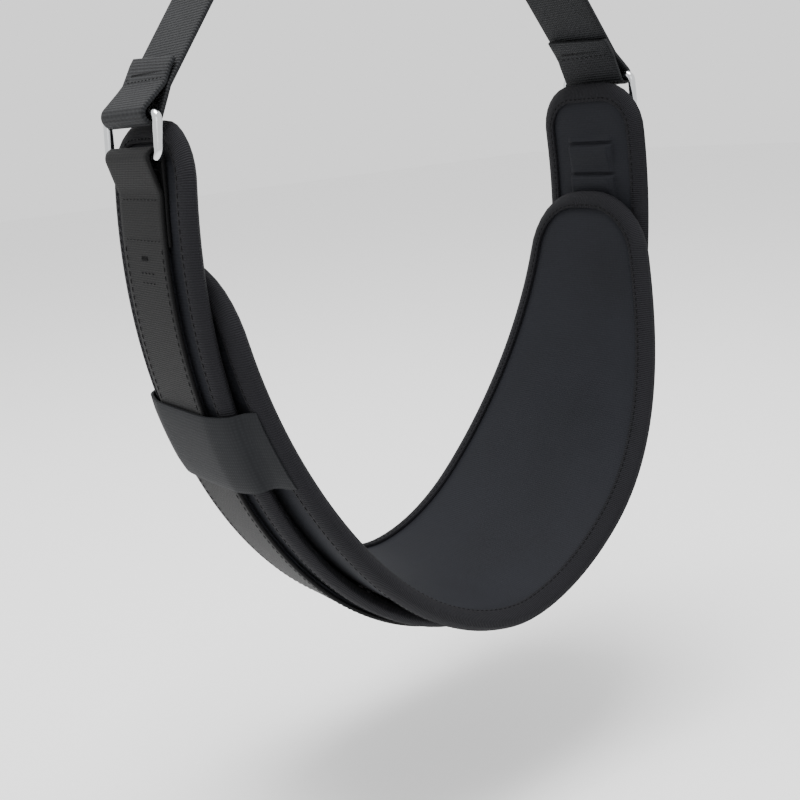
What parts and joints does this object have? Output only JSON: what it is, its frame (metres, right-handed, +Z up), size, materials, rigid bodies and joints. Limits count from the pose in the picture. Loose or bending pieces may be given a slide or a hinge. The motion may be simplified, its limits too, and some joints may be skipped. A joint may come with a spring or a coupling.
{
  "type": "belt swing seat",
  "caption": "Padded belt swing seat: a wide tapered seat pad in a narrower webbing-backed carrier pad, hung from steel rings, short straps and carabiners.",
  "frame": {"origin": "midway between the bearing points of the two carabiners, inside their upper bows", "axes": "+X along the belt's span towards the right side, +Y across the belt towards its back edge, +Z up"},
  "size_m": [0.3606, 0.1704, 0.5231],
  "materials": {
    "neoprene_cover": "smooth charcoal neoprene",
    "binding_tape": "black ribbed woven polyester tape",
    "webbing": "charcoal woven polyester webbing",
    "keeper_fabric": "smooth lighter charcoal neoprene",
    "thread": "black bonded polyester thread",
    "foam": "closed-cell foam",
    "ring_chrome": "bright chromed steel",
    "hook_steel": "zinc-plated steel"
  },
  "bodies": {
    "hooks": {"carabiner_left": "hook_steel", "carabiner_right": "hook_steel", "gate_pin_left": "hook_steel", "gate_pin_right": "hook_steel", "gate_spring_left": "hook_steel", "gate_spring_right": "hook_steel"},
    "top_rings": {"top_ring_left": "ring_chrome", "top_ring_right": "ring_chrome"},
    "strap_left": {"upper_strap_left": "webbing", "strap_bar_tacks_left": "thread"},
    "link_left": {"ring_left": "ring_chrome"},
    "seat": {"seat_foam": "foam", "seat_inner_cover": "neoprene_cover", "seat_outer_cover": "neoprene_cover", "seat_binding": "binding_tape", "carrier_foam": "foam", "carrier_inner_cover": "neoprene_cover", "carrier_outer_cover": "neoprene_cover", "carrier_binding": "binding_tape", "carrier_quilt_left": "neoprene_cover", "carrier_quilt_right": "neoprene_cover", "channel_padding": "foam", "load_webbing": "webbing", "load_bar_tacks": "thread", "keeper_band_left": "keeper_fabric", "keeper_band_right": "keeper_fabric"},
    "link_right": {"ring_right": "ring_chrome"},
    "strap_right": {"upper_strap_right": "webbing", "strap_bar_tacks_right": "thread"},
    "gate_left_arm": {"gate_left": "hook_steel"},
    "gate_right_arm": {"gate_right": "hook_steel"}
  },
  "joints": [
    {"name": "swing", "type": "hinge", "parent": "hooks", "child": "top_rings", "pos_m": [0, 0, -0.05311], "axis": [1, 0, 0], "range_deg": [-45, 45]},
    {"name": "sway", "type": "hinge", "parent": "top_rings", "child": "seat", "pos_m": [0, 0, 0.06231], "axis": [0, 1, 0], "range_deg": [-2.5, 2.5]},
    {"name": "strap_left_pivot", "type": "hinge", "parent": "top_rings", "child": "strap_left", "pos_m": [-0.09799, 0, -0.07962], "axis": [0, 1, 0], "range_deg": [-5.73, 5.73]},
    {"name": "strap_right_pivot", "type": "hinge", "parent": "top_rings", "child": "strap_right", "pos_m": [0.09799, 0, -0.07962], "axis": [0, 1, 0], "range_deg": [-5.73, 5.73]},
    {"name": "ring_left_pivot", "type": "hinge", "parent": "seat", "child": "link_left", "pos_m": [-0.17505, 0, -0.20037], "axis": [0, 1, 0], "range_deg": [-1.62, 1.62]},
    {"name": "ring_right_pivot", "type": "hinge", "parent": "seat", "child": "link_right", "pos_m": [0.17505, 0, -0.20037], "axis": [0, 1, 0], "range_deg": [-1.62, 1.62]},
    {"name": "gate_left_open", "type": "hinge", "parent": "hooks", "child": "gate_left_arm", "pos_m": [-0.07455, 0, -0.02692], "axis": [0, 1, 0], "range_deg": [0, 25], "stiffness_Nm_per_rad": 0.05, "springref_deg": -17.19},
    {"name": "gate_right_open", "type": "hinge", "parent": "hooks", "child": "gate_right_arm", "pos_m": [0.07455, 0, -0.02692], "axis": [0, -1, 0], "range_deg": [0, 25], "stiffness_Nm_per_rad": 0.05, "springref_deg": -17.19}
  ],
  "couplings": [
    {"joint": "strap_left_pivot", "follows": "sway", "ratio": 2.2869},
    {"joint": "strap_right_pivot", "follows": "sway", "ratio": 2.2869},
    {"joint": "ring_left_pivot", "follows": "sway", "ratio": 0.6434},
    {"joint": "ring_right_pivot", "follows": "sway", "ratio": 0.6434}
  ]
}
